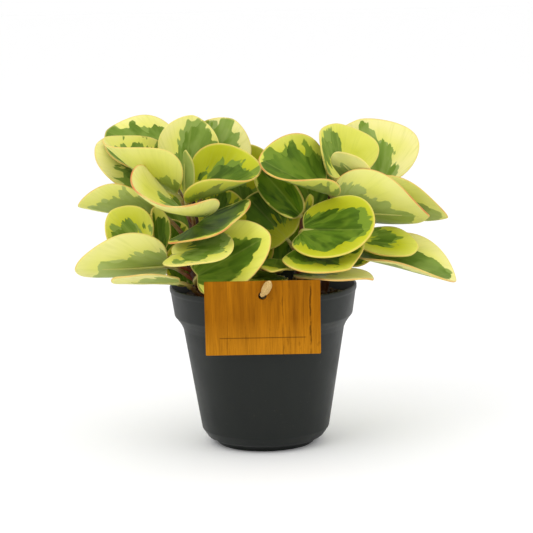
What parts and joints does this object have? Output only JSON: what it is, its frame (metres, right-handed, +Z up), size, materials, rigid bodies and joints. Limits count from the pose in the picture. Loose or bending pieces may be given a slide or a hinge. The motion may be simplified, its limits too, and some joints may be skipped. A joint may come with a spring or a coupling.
{
  "type": "potted plant",
  "caption": "Variegated houseplant with cupped spoon-shaped leaves on dark stems in a tapered plastic nursery pot, with a plain wooden tag pegged at its rim.",
  "frame": {"origin": "centre of the pot's flat underside, on the surface that it stands on", "axes": "+Z up along the pot's axis; -Y towards the tag, the side that the picture shows; +X to the viewer's right"},
  "size_m": [0.2414, 0.1653, 0.211],
  "materials": {
    "pot": "satin anthracite plastic",
    "soil": "loose dark peat",
    "card": "thin card with a printed wood grain, bare of text",
    "peg": "pale raw wood",
    "stem": "smooth dark red-brown plant stem",
    "leaf": "waxy variegated leaf, green heart and pale yellow margin"
  },
  "bodies": {
    "root": {"leaf_left_01": "leaf", "leaf_left_02": "leaf", "leaf_left_03": "leaf", "leaf_left_04": "leaf", "leaf_left_05": "leaf", "leaf_left_06": "leaf", "leaf_left_07": "leaf", "leaf_left_08": "leaf", "leaf_left_09": "leaf", "leaf_left_10": "leaf", "leaf_left_11": "leaf", "leaf_left_12": "leaf", "leaf_left_13": "leaf", "leaf_left_14": "leaf", "leaf_left_15": "leaf", "leaf_left_16": "leaf", "leaf_left_17": "leaf", "leaf_left_18": "leaf", "leaf_left_19": "leaf", "leaf_left_20": "leaf", "leaf_left_21": "leaf", "leaf_left_22": "leaf", "leaf_middle_01": "leaf", "leaf_middle_02": "leaf", "leaf_middle_03": "leaf", "leaf_middle_04": "leaf", "leaf_middle_05": "leaf", "leaf_middle_06": "leaf", "leaf_middle_07": "leaf", "leaf_middle_08": "leaf", "leaf_right_01": "leaf", "leaf_right_02": "leaf", "leaf_right_03": "leaf", "leaf_right_04": "leaf", "leaf_right_05": "leaf", "leaf_right_06": "leaf", "leaf_right_07": "leaf", "leaf_right_08": "leaf", "leaf_right_09": "leaf", "leaf_right_10": "leaf", "leaf_right_11": "leaf", "leaf_right_12": "leaf", "leaf_right_13": "leaf", "leaf_right_14": "leaf", "leaf_right_15": "leaf", "leaf_right_16": "leaf", "leaf_right_17": "leaf", "leaf_right_18": "leaf", "leaf_right_19": "leaf", "pot": "pot", "potting_soil": "soil", "stem_left": "stem", "stem_left_front": "stem", "stem_middle_back": "stem", "stem_right": "stem", "stem_right_back": "stem", "tag_card": "card", "tag_peg": "peg"}
  },
  "joints": []
}
